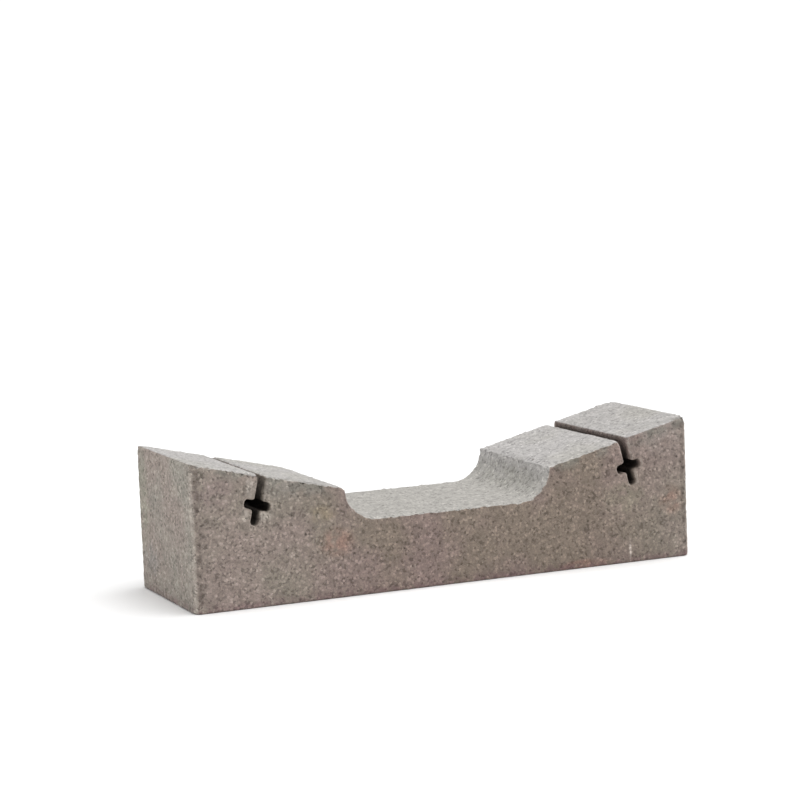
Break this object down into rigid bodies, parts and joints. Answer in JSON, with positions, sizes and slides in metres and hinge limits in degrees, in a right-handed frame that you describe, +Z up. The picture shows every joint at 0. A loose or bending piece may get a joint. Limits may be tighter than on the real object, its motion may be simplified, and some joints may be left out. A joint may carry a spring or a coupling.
{
  "type": "solar panel ballast block",
  "caption": "Dry-cast concrete ballast block with inclined end seats, keyed clamp slots and a lower saddle, for weighing down tilted solar panels on a flat roof.",
  "frame": {"origin": "centre of the base", "axes": "X along the block from one seat to the other, Y across it, +Z up"},
  "size_m": [0.7, 0.22, 0.1892],
  "materials": {
    "concrete": "matte"
  },
  "bodies": {
    "root": {"ballast_block": "concrete"}
  },
  "joints": []
}
